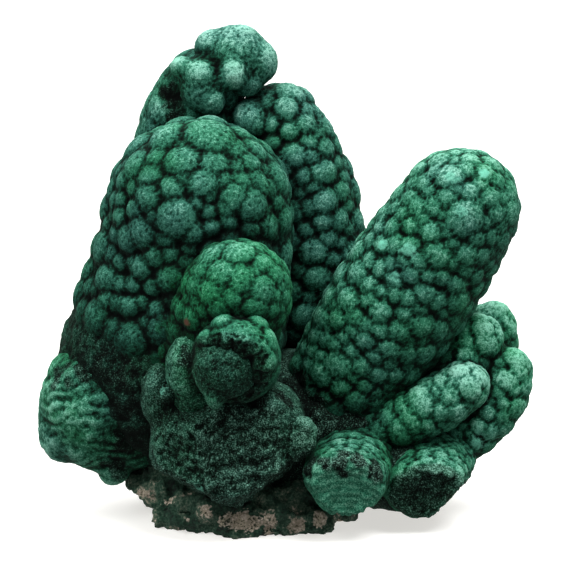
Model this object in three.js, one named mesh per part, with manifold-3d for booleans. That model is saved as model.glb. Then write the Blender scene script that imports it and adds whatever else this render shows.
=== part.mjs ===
// Botryoidal malachite specimen: knobbly green columns grown together over a scrap of host rock.
// Millimetres, +Z up, +X to the right of the front view, +Y to the back.
// The origin is under the middle of the specimen, on the surface that it stands on.

import * as THREE from "three";
import { ConvexHull } from "three/addons/math/ConvexHull.js";
import { ImprovedNoise } from "three/addons/math/ImprovedNoise.js";
import { mergeVertices } from "three/addons/utils/BufferGeometryUtils.js";
import Module from "manifold-3d";

// Driving dimensions

// Clearance between the malachite and the host rock that it grew over.
const CONTACT_GAP = 0.4;
// Nodules at least this large are drawn as rounded domes, smaller ones as plain facets.
const DOME_RADIUS = 4.8;
// Where a dome's ring of facets breaks, as a share of the way from its top to its edge.
const DOME_BREAK = 0.6;
// Sizes of nodule, largest first, as shares of a column's mean, each with how thickly it is sown.
const NODULE_SIZES = [
  { size: 1.5, sown: 0.16 },
  { size: 1.2, sown: 0.4 },
  { size: 1, sown: 1.2 },
  { size: 0.78, sown: 4 },
];
// How close two nodules may grow, as a share of the sum of their sizes.
const CROWDING = 0.94;
// How much further a large nodule stands out than a small one, as a share of the difference in size.
const STANDING_OUT = 0.35;
// Height of the rounding at a column's foot, as a share of its radius there.
const FOOT_ROUNDING = 0.6;
// The mass whose surface leaves a broken face: far larger than any stub, so the face is nearly flat.
const BREAK = { radius: 70, rough: 0.03, detail: 16 };
// Edge of the block of ground that the specimen is levelled on.
const GROUND = 400;
// Broad swells and finer ripples of a rough lump: how closely they follow each other round it, and
// how high each stands, as a share of its rough.
const SWELLS = { pitch: 1.7, height: 1 };
const RIPPLES = { pitch: 4.1, height: 0.5 };
// Steps of a column's outline, round each of its ends and along its body.
const END_STEPS = 24;
const BODY_STEPS = 48;
// Where the host rock's draws start, so that its lumps are shaped unlike the malachite's.
const ROCK_SERIES = 11;

// Columns, each from the middle of its foot through its waist to the middle of its domed tip.
// radii are those of the foot, waist and tip. depth narrows the column from front to back.
// nodule is the mean width of its nodules, and swell the radius that each is rounded to, in half widths.
// broken is the plane, a point and a direction, that a snapped-off end leaves.
const COLUMNS = [
  {
    name: "left column",
    foot: [-29.5, 5, 38],
    waist: [-26.2, 4, 56],
    tip: [-22.8, 2, 73.6],
    radii: [29, 25.2, 23.3],
    depth: 0.86,
    nodule: 7.4,
    swell: 1.12,
  },
  {
    name: "crown column",
    foot: [-27.6, 22, 78],
    waist: [-26.4, 21, 91],
    tip: [-22.2, 20, 102],
    radii: [12.5, 11.8, 10.4],
    depth: 0.9,
    nodule: 8,
    swell: 1.2,
  },
  {
    name: "rear column",
    foot: [4.4, 20, 48],
    waist: [2.6, 20, 73],
    tip: [-2, 20, 92.3],
    radii: [15.6, 14.6, 11.4],
    depth: 0.95,
    nodule: 7.2,
    swell: 1.12,
  },
  {
    name: "right column",
    foot: [8.5, -4, 28],
    waist: [24.6, -5, 51.5],
    tip: [40.2, -6, 76],
    radii: [13, 16.9, 14.8],
    depth: 0.92,
    nodule: 6.2,
    swell: 1.3,
  },
  {
    name: "front knob",
    foot: [-17, -12, 30],
    waist: [-15, -17, 46],
    tip: [-12.8, -21, 58],
    radii: [15, 14, 13],
    depth: 1,
    nodule: 8,
    swell: 1.5,
  },
  {
    name: "front stub",
    foot: [-15, -12, 38],
    waist: [-15.5, -24, 42],
    tip: [-16, -34, 45],
    radii: [14, 13, 11.5],
    depth: 1,
    nodule: 9,
    swell: 1.6,
    broken: { point: [-14, -39.5, 40], normal: [0.1, -0.98, -0.12] },
  },
  {
    name: "lower right finger",
    foot: [20, -10, 23],
    waist: [31, -12, 28],
    tip: [41, -12, 34],
    radii: [7.5, 7.2, 6.4],
    depth: 1,
    nodule: 5.6,
    swell: 1.25,
  },
  {
    name: "upper right finger",
    foot: [24, 0, 26],
    waist: [36, -1, 35],
    tip: [44.5, -2, 43],
    radii: [10, 9, 7],
    depth: 1,
    nodule: 6,
    swell: 1.25,
  },
  {
    name: "outer finger",
    foot: [41, -3, 20.5],
    waist: [48.5, -3, 28],
    tip: [52.2, -2, 35.2],
    radii: [7.6, 7.8, 6.4],
    depth: 1.1,
    nodule: 5.8,
    swell: 1.25,
  },
  {
    name: "outer rear finger",
    foot: [42, 12, 28],
    waist: [47.2, 9, 38.5],
    tip: [48.6, 7, 45],
    radii: [10, 8.5, 6.2],
    depth: 1.1,
    nodule: 6,
    swell: 1.25,
  },
  {
    name: "banded stub",
    foot: [15, -8, 13],
    waist: [13.5, -18, 13.5],
    tip: [12.8, -26, 14],
    radii: [10, 10.6, 10],
    depth: 1,
    nodule: 7.6,
    swell: 1.3,
    broken: { point: [13, -30, 12], normal: [0, -0.96, 0.28] },
  },
  {
    name: "dark stub",
    foot: [34, 2, 14],
    waist: [33, -8, 13.2],
    tip: [31.6, -18, 12.6],
    radii: [11, 10.8, 10],
    depth: 1,
    nodule: 8,
    swell: 1.3,
    broken: { point: [32, -21, 10], normal: [0.15, -0.95, 0.28] },
  },
];

// Lobes and masses without nodules. tilt turns one about the front-to-back axis, in degrees.
// rough is the share of its radius that its surface rises and falls by.
const MASSES = [
  { name: "crown lobe", middle: [-13.8, 18, 109.5], radii: [9.4, 9, 9], tilt: 0, rough: 0.12, detail: 3 },
  { name: "crown cheek", middle: [-22.6, 12, 105.5], radii: [6.6, 6.6, 7], tilt: 0, rough: 0.1, detail: 2 },
  { name: "crown bead", middle: [-13.8, 9.5, 106], radii: [3.6, 3.6, 3.6], tilt: 0, rough: 0.1, detail: 1 },
  { name: "rear bead", middle: [-10.6, 16, 93.6], radii: [6, 6, 6.4], tilt: 0, rough: 0.1, detail: 1 },
  { name: "ear", middle: [1.8, -25, 24.5], radii: [4.6, 5, 5], tilt: 0, rough: 0.25, detail: 1 },
  { name: "left cheek", middle: [-33.5, -23, 32], radii: [4.8, 6, 6.4], tilt: 0, rough: 0.2, detail: 1 },
  { name: "hanging nub", middle: [-44.6, -8, 12], radii: [3.2, 3.4, 4.4], tilt: 0, rough: 0.2, detail: 1 },
  { name: "front mass", middle: [-16, -16, 22], radii: [20.5, 21, 19], tilt: 0, rough: 0.2, detail: 4 },
  { name: "left skirt", middle: [-47, 0, 28.5], radii: [14.5, 17, 17.5], tilt: 12, rough: 0.2, detail: 3 },
  { name: "skirt corner", middle: [-55.6, -2, 20], radii: [6.4, 8, 7], tilt: 0, rough: 0.2, detail: 1 },
  { name: "core", middle: [1, 4, 22], radii: [38, 24, 18], tilt: 0, rough: 0.12, detail: 3 },
  { name: "right shelf", middle: [26, -4, 12.5], radii: [17, 18, 11], tilt: 0, rough: 0.12, detail: 2 },
  { name: "back mound", middle: [-14, 24, 34], radii: [20, 16, 27], tilt: 0, rough: 0.2, detail: 3 },
  { name: "back shelf", middle: [23, 16, 26], radii: [18, 17, 17], tilt: 0, rough: 0.2, detail: 3 },
];

// Lumps of host rock under the malachite, cut off flat where the specimen stands.
const ROCKS = [
  { name: "middle lump", middle: [-10, -8, 3.5], radii: [23, 17, 8], tilt: 0, rough: 0.2, detail: 3 },
  { name: "left lump", middle: [-27, 2, 6.5], radii: [15.5, 17, 9.5], tilt: 0, rough: 0.2, detail: 2 },
  { name: "rear lump", middle: [-1, 14, 4], radii: [23, 16, 8], tilt: 0, rough: 0.2, detail: 2 },
];

const MALACHITE_FINISH = { color: 0x1f6a48, roughness: 0.85, metalness: 0 };
const ROCK_FINISH = { color: 0x8b7c6a, roughness: 0.95, metalness: 0 };

const wasm = await Module();
wasm.setup();

// Solids

// A closed geometry as a solid that can be joined and cut.
function solidOf(geometry) {
  const bare = geometry.clone();
  bare.deleteAttribute("normal");
  bare.deleteAttribute("uv");
  const merged = mergeVertices(bare, 1e-4);
  const vertProperties = new Float32Array(merged.getAttribute("position").array);
  const triVerts = new Uint32Array(merged.index.array);
  return new wasm.Manifold(new wasm.Mesh({ numProp: 3, vertProperties, triVerts }));
}

function geometryOf(solid) {
  const { vertProperties, triVerts } = solid.getMesh();
  const geometry = new THREE.BufferGeometry();
  geometry.setAttribute("position", new THREE.BufferAttribute(vertProperties, 3));
  geometry.setIndex(new THREE.BufferAttribute(triVerts, 1));
  geometry.computeVertexNormals();
  return geometry;
}

function joined(solids) {
  return solids.reduce((whole, solid) => whole.add(solid));
}

// The largest body of a solid, without the crumbs that a cut leaves.
function mainBody(solid) {
  return solid.decompose().reduce((a, b) => (a.volume() > b.volume() ? a : b));
}

// Takes off what lies past a plane, on the side that its normal points to, and leaves a rough face.
function brokenOff(solid, { point, normal }, series) {
  const { radius, rough, detail } = BREAK;
  const middle = new THREE.Vector3(...point);
  middle.addScaledVector(new THREE.Vector3(...normal).normalize(), radius);
  const mass = { middle: middle.toArray(), radii: [radius, radius, radius], tilt: 0, rough, detail };
  return solid.subtract(massSolid(mass, series));
}

// Columns

// A repeatable number from 0 to 1 for the nth draw of a series.
function draw(series, n) {
  const wave = Math.sin(series * 78.233 + n * 12.9898) * 43758.5453;
  return wave - Math.floor(wave);
}

// The outline of a column laid straight along z, from its foot to its tip. Each step has the point of
// the spine that it is seen from, the direction and reach of the surface from there, and what the
// surface covers up to it: its length, its area, and the length in which each turn counts the same.
function outlineOf({ radii, length }) {
  const [foot, waist, tip] = radii;
  const steps = [];
  for (let i = 1; i < END_STEPS; i++) {
    const angle = (i / END_STEPS - 1) * (Math.PI / 2);
    const across = foot * Math.cos(angle);
    const up = foot * FOOT_ROUNDING * Math.sin(angle);
    steps.push({ spine: 0, across, up });
  }
  for (let i = 0; i <= BODY_STEPS; i++) {
    const t = i / BODY_STEPS;
    const across = foot * (1 - t) * (1 - 2 * t) + 4 * waist * t * (1 - t) + tip * t * (2 * t - 1);
    steps.push({ spine: t * length, across, up: 0 });
  }
  for (let i = 1; i < END_STEPS; i++) {
    const angle = (i / END_STEPS) * (Math.PI / 2);
    steps.push({ spine: length, across: tip * Math.cos(angle), up: tip * Math.sin(angle) });
  }
  steps.forEach((step, i) => {
    const before = steps[i - 1];
    const run = before
      ? Math.hypot(step.across - before.across, step.spine + step.up - before.spine - before.up)
      : 0;
    const mean = before ? (step.across + before.across) / 2 : step.across;
    step.along = before ? before.along + run : 0;
    step.area = before ? before.area + 2 * Math.PI * mean * run : 0;
    step.turns = before ? before.turns + run / mean : 0;
  });
  const middle = steps.at(-1).turns / 2;
  for (const step of steps) step.turns -= middle;
  return steps;
}

// The step of an outline where one of its measures has a given value.
function stepAt(outline, measure, value) {
  const next = outline.findIndex((step) => step[measure] >= value);
  if (next === 0) return outline[0];
  if (next < 0) return outline.at(-1);
  const [a, b] = [outline[next - 1], outline[next]];
  const share = (value - a[measure]) / (b[measure] - a[measure]);
  const between = {};
  for (const key of Object.keys(a)) between[key] = a[key] + share * (b[key] - a[key]);
  return between;
}

// A place on the outline, and an angle round it, as a point of a ball that keeps angles true.
function onBall({ turns }, angle) {
  const ring = 1 / Math.cosh(turns);
  return new THREE.Vector3(ring * Math.cos(angle), ring * Math.sin(angle), Math.tanh(turns));
}

// The ray from a column's spine through its surface at a point of the ball.
function rayThrough(outline, ballPoint) {
  const height = THREE.MathUtils.clamp(ballPoint.z / ballPoint.length(), -0.999999, 0.999999);
  const step = stepAt(outline, "turns", Math.atanh(height));
  const angle = Math.atan2(ballPoint.y, ballPoint.x);
  const direction = new THREE.Vector3(
    step.across * Math.cos(angle),
    step.across * Math.sin(angle),
    step.up,
  );
  const reach = direction.length();
  return { start: new THREE.Vector3(0, 0, step.spine), direction: direction.divideScalar(reach), reach };
}

// Nodules sown over a column at random, the largest first, each where it has room.
function nodulesOf(outline, { nodule, swell, series }) {
  const whole = outline.at(-1).area;
  const grown = [];
  let draws = 0;
  for (const { size, sown } of NODULE_SIZES) {
    const half = (size * nodule) / 2;
    const tries = Math.round((sown * whole) / (Math.PI * half * half));
    for (let i = 0; i < tries; i++) {
      const step = stepAt(outline, "area", whole * draw(series, draws++));
      const ball = onBall(step, 2 * Math.PI * draw(series, draws++));
      const ray = rayThrough(outline, ball);
      const surface = ray.start.clone().addScaledVector(ray.direction, ray.reach);
      if (grown.some((other) => surface.distanceTo(other.surface) < CROWDING * (half + other.half))) continue;
      const radius = half * swell;
      const out = ray.reach - radius + STANDING_OUT * (half - nodule / 2);
      grown.push({ ball, surface, half, radius, middle: ray.start.addScaledVector(ray.direction, out) });
    }
  }
  return grown;
}

// How far out along a ray the nodules reach.
function reachOf(ray, nodules, core) {
  let reach = core;
  for (const { middle, radius } of nodules) {
    const away = middle.clone().sub(ray.start);
    const along = away.dot(ray.direction);
    const inside = radius * radius - away.lengthSq() + along * along;
    if (inside > 0) reach = Math.max(reach, along + Math.sqrt(inside));
  }
  return reach;
}

// A column's axis, with the sideways directions that its cross-sections keep.
function axisOf({ foot, waist, tip }) {
  const [start, middle, end] = [foot, waist, tip].map((p) => new THREE.Vector3(...p));
  const bend = middle.multiplyScalar(2).addScaledVector(start, -0.5).addScaledVector(end, -0.5);
  const curve = new THREE.QuadraticBezierCurve3(start, bend, end);
  const chord = end.clone().sub(start).normalize();
  const side = Math.abs(chord.x) < 0.8 ? new THREE.Vector3(1, 0, 0) : new THREE.Vector3(0, 0, 1);
  return { curve, side, length: curve.getLength() };
}

// Carries a point from the straightened column to its real place.
function bent(point, { curve, side, length }, depth) {
  const share = THREE.MathUtils.clamp(point.z / length, 0, 1);
  const tangent = curve.getTangentAt(share);
  const right = side.clone().addScaledVector(tangent, -side.dot(tangent)).normalize();
  const front = tangent.clone().cross(right);
  const offset = right.multiplyScalar(point.x).addScaledVector(front, point.y);
  offset.addScaledVector(tangent, point.z - share * length);
  offset.y *= depth;
  return offset.add(curve.getPointAt(share));
}

// The neighbours of each nodule: the triangles of the ball's hull, as numbers of nodules.
function trianglesBetween(nodules) {
  const numbers = new Map(nodules.map(({ ball }, i) => [ball, i]));
  const hull = new ConvexHull().setFromPoints(nodules.map(({ ball }) => ball));
  return hull.faces.map(({ edge }) =>
    [edge, edge.next, edge.next.next].map((e) => numbers.get(e.head().point)),
  );
}

// A column's surface. Each nodule is a fan of facets round its top, out to the hollows where three
// nodules meet, and a large nodule has a ring of facets between the two.
function columnSolid(column, series) {
  const axis = axisOf(column);
  const outline = outlineOf({ radii: column.radii, length: axis.length });
  const nodules = nodulesOf(outline, { ...column, series });
  const points = [];
  const faces = [];
  const addPoint = (ballPoint) => {
    const ray = rayThrough(outline, ballPoint);
    const reach = reachOf(ray, nodules, ray.reach - column.nodule);
    const straight = ray.start.addScaledVector(ray.direction, reach);
    points.push(...bent(straight, axis, column.depth));
    return points.length / 3 - 1;
  };

  const tops = nodules.map(({ ball }) => addPoint(ball));
  const hollows = trianglesBetween(nodules).map((corners) => {
    const ball = new THREE.Vector3();
    for (const n of corners) ball.addScaledVector(nodules[n].ball, 1 / nodules[n].half);
    ball.normalize();
    return { corners, ball, point: addPoint(ball) };
  });

  // Each hollow is between a nodule and the next one round, so a pair of hollows shares an edge.
  const hollowAfter = new Map();
  for (const hollow of hollows) {
    hollow.corners.forEach((n, k) => hollowAfter.set(`${n} ${hollow.corners[(k + 1) % 3]}`, hollow));
  }
  const breaks = new Map();
  const breakPoint = (n, hollow) => {
    const key = `${n} ${hollow.point}`;
    if (!breaks.has(key)) {
      breaks.set(key, addPoint(nodules[n].ball.clone().lerp(hollow.ball, DOME_BREAK)));
    }
    return breaks.get(key);
  };
  for (const [key, left] of hollowAfter) {
    const [n, neighbour] = key.split(" ").map(Number);
    const right = hollowAfter.get(`${neighbour} ${n}`);
    if (nodules[n].half < DOME_RADIUS) {
      faces.push(tops[n], right.point, left.point);
      continue;
    }
    const [inRight, inLeft] = [breakPoint(n, right), breakPoint(n, left)];
    faces.push(tops[n], inRight, inLeft);
    faces.push(inRight, right.point, left.point);
    faces.push(inRight, left.point, inLeft);
  }
  const geometry = new THREE.BufferGeometry();
  geometry.setAttribute("position", new THREE.Float32BufferAttribute(points, 3));
  geometry.setIndex(faces);
  const solid = solidOf(geometry);
  return column.broken ? brokenOff(solid, column.broken, series) : solid;
}

// Lobes and masses

const noise = new ImprovedNoise();

// How far the swells or ripples of a lump rise in a direction from its middle.
function rise({ pitch, height }, direction, series) {
  const { x, y, z } = direction.clone().multiplyScalar(pitch).addScalar(7 * series);
  return height * noise.noise(x, y, z);
}

// A rough lump, larger all round by the clearance given.
function massSolid({ middle, radii, tilt, rough, detail }, series, clearance = 0) {
  const geometry = new THREE.IcosahedronGeometry(1, detail);
  const place = geometry.getAttribute("position");
  const point = new THREE.Vector3();
  const size = new THREE.Vector3(...radii);
  for (let i = 0; i < place.count; i++) {
    point.fromBufferAttribute(place, i);
    const swell = 1 + rough * (rise(SWELLS, point, series) + rise(RIPPLES, point, series));
    const out = point.clone();
    point.multiply(size).multiplyScalar(swell).addScaledVector(out, clearance);
    place.setXYZ(i, ...point);
  }
  geometry.rotateY(THREE.MathUtils.degToRad(tilt)).translate(...middle);
  return solidOf(geometry);
}

// Below the level, a block wider than the specimen.
function groundBelow(level) {
  return solidOf(new THREE.BoxGeometry(GROUND, GROUND, GROUND).translate(0, 0, level - GROUND / 2));
}

// The specimen

function rockSolid(clearance) {
  return joined(ROCKS.map((rock, i) => massSolid(rock, ROCK_SERIES + i, clearance)));
}

const rock = mainBody(rockSolid(0).subtract(groundBelow(0)));
const malachite = mainBody(
  joined([
    ...COLUMNS.map((column, i) => columnSolid(column, i + 1)),
    ...MASSES.map((mass, i) => massSolid(mass, i + 1)),
  ])
    .subtract(rockSolid(CONTACT_GAP))
    .subtract(groundBelow(CONTACT_GAP)),
);

function piece(name, solid, finish) {
  const mesh = new THREE.Mesh(geometryOf(solid), new THREE.MeshStandardMaterial(finish));
  mesh.name = name;
  return mesh;
}

const specimen = new THREE.Group();
specimen.add(piece("malachite", malachite, MALACHITE_FINISH), piece("host_rock", rock, ROCK_FINISH));

// Stands the specimen over its origin.
const bounds = new THREE.Box3().setFromObject(specimen);
const middle = bounds.getCenter(new THREE.Vector3());
for (const mesh of specimen.children) mesh.position.set(-middle.x, -middle.y, -bounds.min.z);

export default specimen;
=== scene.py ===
"""Looks of a botryoidal malachite specimen: velvety green columns grown over a crust of host rock.

Sizes are in millimetres where a name or comment says so, and otherwise in metres, in the frame of the
solids: +Z up, +X to the right of the photograph, +Y to the back.
"""

from __future__ import annotations

import logging
import math
from dataclasses import dataclass, field
from enum import Enum

import bmesh
import bpy
import numpy as np
from mathutils import Matrix, Vector, noise
from mathutils.bvhtree import BVHTree

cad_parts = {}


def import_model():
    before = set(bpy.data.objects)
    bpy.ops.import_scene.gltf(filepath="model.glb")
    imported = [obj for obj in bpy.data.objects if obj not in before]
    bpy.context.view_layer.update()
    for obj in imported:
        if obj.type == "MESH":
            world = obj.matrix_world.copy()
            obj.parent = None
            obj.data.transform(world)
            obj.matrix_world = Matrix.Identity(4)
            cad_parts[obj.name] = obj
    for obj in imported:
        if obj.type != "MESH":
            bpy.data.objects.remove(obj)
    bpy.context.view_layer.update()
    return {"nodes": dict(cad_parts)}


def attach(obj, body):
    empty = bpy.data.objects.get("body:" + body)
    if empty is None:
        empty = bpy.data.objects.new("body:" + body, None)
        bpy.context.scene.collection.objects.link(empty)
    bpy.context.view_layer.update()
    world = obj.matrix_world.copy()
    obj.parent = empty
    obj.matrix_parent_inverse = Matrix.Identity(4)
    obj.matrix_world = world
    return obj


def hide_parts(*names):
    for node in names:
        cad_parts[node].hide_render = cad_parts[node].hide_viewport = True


log = logging.getLogger("specimen")

MM = 0.001

# Kinds of shader node that are used again and again.
MATH = "ShaderNodeMath"
MIX = "ShaderNodeMix"
NOISE = "ShaderNodeTexNoise"
RAMP = "ShaderNodeValToRGB"
SHADER = "ShaderNodeBsdfPrincipled"
OUTPUT = "ShaderNodeOutputMaterial"

# A point, a point with a radius, the pixel and width of a nodule, the pixel, radius and strength of a patch,
# and the places and colours of a ramp.
Point = tuple[float, float, float]
Station = tuple[float, float, float, float]
Seen = tuple[int, int, int]
StainOrShade = tuple[int, int, int, float]
Stops = tuple[tuple[float, str], ...]


class Skin(Enum):
    """How the surface of a growth formed."""

    NODULAR = "nodular"
    GRANULAR = "granular"
    LAYERED = "layered"


class Tint(Enum):
    """What a patch of the surface is coloured by."""

    PALE = "pale"
    # Dark crust in most places, painted shade in the deep gap beside the front ball.
    DARK = "dark"
    RUST = "rust"
    FRESH = "fresh"
    BARE = "bare"


# The lumps and grains of each skin: their widths and how far they rise, in millimetres.
SKIN_LUMPS: dict[Skin, tuple[tuple[float, float], ...]] = {
    Skin.NODULAR: ((0.9, 0.35),),
    Skin.GRANULAR: ((4.5, 1.3), (0.7, 0.45)),
    Skin.LAYERED: ((6.0, 1.6), (0.9, 0.3)),
}

# Where the photograph shows the larger nodules: pixels across and down, and their width in pixels.
LEFT_COLUMN_NODULES: tuple[Seen, ...] = (
    (209, 139, 46), (170, 140, 40), (232, 150, 29), (252, 152, 30), (158, 160, 26), (183, 163, 32),
    (212, 165, 28), (152, 177, 26), (203, 183, 28), (184, 180, 22), (172, 190, 27), (234, 197, 28),
    (250, 204, 32), (241, 184, 24), (176, 219, 35), (144, 232, 30), (137, 210, 22), (118, 234, 22),
    (122, 200, 18), (135, 186, 18), (130, 165, 20), (145, 152, 18), (209, 212, 15), (228, 222, 17),
    (210, 229, 18), (250, 231, 22), (268, 188, 22), (283, 200, 19), (263, 212, 17), (285, 226, 20),
    (273, 235, 17), (272, 252, 18), (284, 262, 18), (157, 257, 24), (171, 255, 22), (190, 250, 19),
    (120, 262, 19), (133, 262, 14), (134, 285, 18), (154, 286, 19), (118, 303, 19), (130, 307, 20),
    (142, 303, 15), (98, 290, 19), (99, 268, 18), (81, 297, 18), (148, 325, 19), (236, 168, 20),
    (262, 172, 20), (118, 180, 18), (115, 216, 17), (209, 193, 18), (226, 209, 18), (195, 204, 17),
)
LEFT_FOOT_NODULES: tuple[Seen, ...] = (
    (115, 336, 16), (99, 328, 18), (92, 315, 17), (88, 352, 13), (107, 352, 13), (119, 354, 15),
    (76, 330, 16), (128, 330, 14),
)
KNOB_NODULES: tuple[Seen, ...] = (
    (188, 283, 22), (213, 256, 27), (238, 254, 29), (262, 263, 23), (275, 274, 20), (284, 296, 19),
    (262, 290, 25), (255, 309, 24), (240, 280, 23), (222, 273, 25), (203, 270, 23), (211, 292, 23),
    (232, 300, 21), (271, 311, 18), (177, 305, 20), (228, 246, 20), (196, 262, 18),
)
REAR_COLUMN_NODULES: tuple[Seen, ...] = (
    (253, 117, 31), (264, 104, 22), (270, 146, 22), (290, 94, 29), (286, 109, 25), (306, 112, 19),
    (291, 131, 20), (323, 128, 27), (323, 149, 25), (293, 157, 25), (303, 177, 20), (322, 173, 27),
    (342, 178, 21), (324, 202, 29), (299, 194, 15), (346, 206, 20), (356, 198, 18), (312, 252, 28),
    (340, 243, 18), (352, 240, 16), (331, 260, 20),
)
RIGHT_COLUMN_NODULES: tuple[Seen, ...] = (
    (450, 177, 25), (484, 174, 22), (464, 219, 31), (434, 207, 20), (410, 199, 20), (429, 192, 15),
    (436, 172, 18), (470, 162, 20), (497, 182, 20), (490, 198, 20), (469, 194, 19), (393, 228, 20),
    (383, 245, 19), (410, 248, 22), (432, 233, 23), (437, 255, 25), (466, 255, 24), (490, 236, 20),
    (475, 276, 18), (456, 286, 20), (488, 262, 17), (437, 301, 20), (424, 294, 21), (420, 325, 27),
    (408, 353, 22), (394, 374, 22), (395, 280, 17), (382, 292, 15), (392, 264, 15), (411, 274, 19),
    (442, 277, 17), (317, 337, 22), (336, 346, 18), (353, 330, 18), (381, 330, 20), (322, 374, 24),
    (341, 386, 20), (311, 395, 20), (336, 411, 22), (365, 386, 18), (413, 226, 18), (404, 214, 17),
)
FINGER_NODULES: tuple[Seen, ...] = (
    (470, 360, 25), (486, 345, 20), (446, 358, 18), (468, 388, 22), (450, 397, 18), (421, 402, 27),
    (400, 432, 24), (440, 411, 20), (487, 384, 17), (505, 381, 20), (519, 372, 18), (501, 360, 18),
    (486, 411, 18), (491, 431, 20), (494, 325, 18), (462, 330, 20),
)
BANDED_STUB_NODULES: tuple[Seen, ...] = (
    (338, 438, 17), (354, 437, 17), (322, 445, 15), (369, 442, 15), (312, 455, 13), (331, 453, 13),
    (347, 452, 14), (362, 455, 13), (377, 457, 12),
)
DARK_STUB_NODULES: tuple[Seen, ...] = (
    (394, 459, 13), (407, 456, 16), (424, 455, 17), (441, 458, 16), (456, 462, 14), (467, 464, 12),
    (415, 466, 12), (433, 468, 12), (449, 471, 11),
)


@dataclass(frozen=True)
class PhotoView:
    """The photograph's point of view.

    Attributes:
        frame: width and height of the photograph, in pixels.
        lens: focal length, in millimetres.
        sensor: width of the sensor, in millimetres.
        pixel: what one pixel covers at the target, in millimetres.
        elevation: how far above the horizon the camera stands, in degrees.
        target: the point in the middle of the picture, in millimetres.
    """

    frame: int = 575
    lens: float = 150.0
    sensor: float = 36.0
    pixel: float = 0.2417
    elevation: float = 10.0
    target: Point = (0.73, 0.36, 56.0)

    @property
    def backward(self) -> Vector:
        """The direction from the target to the camera."""
        angle = math.radians(self.elevation)
        return Vector((0.0, -math.cos(angle), math.sin(angle)))

    @property
    def eye(self) -> Vector:
        """Where the camera stands."""
        distance = self.frame * self.pixel * self.lens / self.sensor
        return (Vector(self.target) + self.backward * distance) * MM

    @property
    def axes(self) -> tuple[Vector, Vector, Vector]:
        """The directions to the right, up and forward in the picture."""
        right, forward = Vector((1.0, 0.0, 0.0)), -self.backward
        return right, right.cross(forward), forward

    def ray(self, across: float, down: float) -> Vector:
        """The direction in which a pixel is seen.

        Args:
            across: pixels from the left edge.
            down: pixels from the top edge.

        Returns:
            A direction of length 1, from the camera.
        """
        right, up, forward = self.axes
        middle = self.frame / 2
        reach = self.lens / self.sensor * self.frame
        return (forward * reach + right * (across - middle) + up * (middle - down)).normalized()

    def pixels(self, points: np.ndarray) -> np.ndarray:
        """Where points show in the photograph.

        Args:
            points: an array of points, in metres.

        Returns:
            Pixels across and down, one pair in each row.
        """
        right, up, forward = (np.array(axis) for axis in self.axes)
        away = points - np.array(self.eye)
        reach = self.lens / self.sensor * self.frame / (away @ forward)
        middle = self.frame / 2
        return np.stack([middle + away @ right * reach, middle - away @ up * reach], axis=1)

    def make_camera(self) -> None:
        """Adds the camera and makes it the scene's own."""
        data = bpy.data.cameras.new("camera")
        data.lens = self.lens
        data.sensor_width = self.sensor
        camera = bpy.data.objects.new("camera", data)
        camera.location = self.eye
        camera.rotation_euler = self.backward.to_track_quat("Z", "Y").to_euler()
        bpy.context.scene.collection.objects.link(camera)
        bpy.context.scene.camera = camera


@dataclass(frozen=True)
class Column:
    """A round body along a bent line.

    Attributes:
        stations: three points of the line, each with the radius there, in millimetres.
        squash: how tall it is for its width.
        balls: how many balls it is built of.
        fineness: how many times a ball's faces are split.
        samples: how many points of the line a distance is taken from.
    """

    stations: tuple[Station, Station, Station]
    squash: float = 1.0
    balls: int = 18
    fineness: int = 4
    samples: int = 9

    def rings(self, count: int) -> np.ndarray:
        """Finds points along the line, with their radii.

        Args:
            count: how many points.

        Returns:
            A point and a radius in each row, in metres.
        """
        share = np.linspace(0, 1, count)[:, None]
        foot, waist, tip = np.array(self.stations) * MM
        near = foot * (1 - share) * (1 - 2 * share)
        return near + waist * 4 * share * (1 - share) + tip * share * (2 * share - 1)

    def add_to(self, shape: bmesh.types.BMesh, inset: float) -> None:
        """Adds the body to a shape, as balls that overlap.

        Args:
            shape: what it is added to.
            inset: how much smaller it is made all round, in metres.
        """
        for x, y, z, radius in self.rings(self.balls):
            place = Matrix.Translation((x, y, z)) @ Matrix.Diagonal((1.0, 1.0, self.squash, 1.0))
            bmesh.ops.create_icosphere(
                shape, subdivisions=self.fineness, radius=radius - inset, matrix=place
            )

    def away(self, points: np.ndarray) -> np.ndarray:
        """How far points are from its surface, in metres, less than 0 inside."""
        rings, shares = self.rings(self.samples), (1.0, 1.0, self.squash)
        return np.min([np.linalg.norm((points - r[:3]) / shares, axis=1) - r[3] for r in rings], axis=0)


@dataclass(frozen=True)
class Mass:
    """A rounded lump.

    Attributes:
        centre: its middle, in millimetres.
        radii: its half width, half depth and half height, in millimetres.
        tilt: how far it leans to the right, in degrees.
        fineness: how many times its faces are split.
    """

    centre: Point
    radii: Point
    tilt: float = 0.0
    fineness: int = 5

    @property
    def turn(self) -> Matrix:
        """How it leans."""
        return Matrix.Rotation(math.radians(self.tilt), 4, "Y")

    def add_to(self, shape: bmesh.types.BMesh, inset: float) -> None:
        """Adds the lump to a shape.

        Args:
            shape: what it is added to.
            inset: how much smaller it is made all round, in metres.
        """
        size = Matrix.Diagonal((*(radius * MM - inset for radius in self.radii), 1.0))
        place = Matrix.Translation(Vector(self.centre) * MM) @ self.turn @ size
        bmesh.ops.create_icosphere(shape, subdivisions=self.fineness, radius=1.0, matrix=place)

    def away(self, points: np.ndarray) -> np.ndarray:
        """About how far points are from its surface, in metres, less than 0 inside."""
        turned = (points - np.array(self.centre) * MM) @ np.array(self.turn.to_3x3())
        return (np.linalg.norm(turned / (np.array(self.radii) * MM), axis=1) - 1) * min(self.radii) * MM


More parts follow.
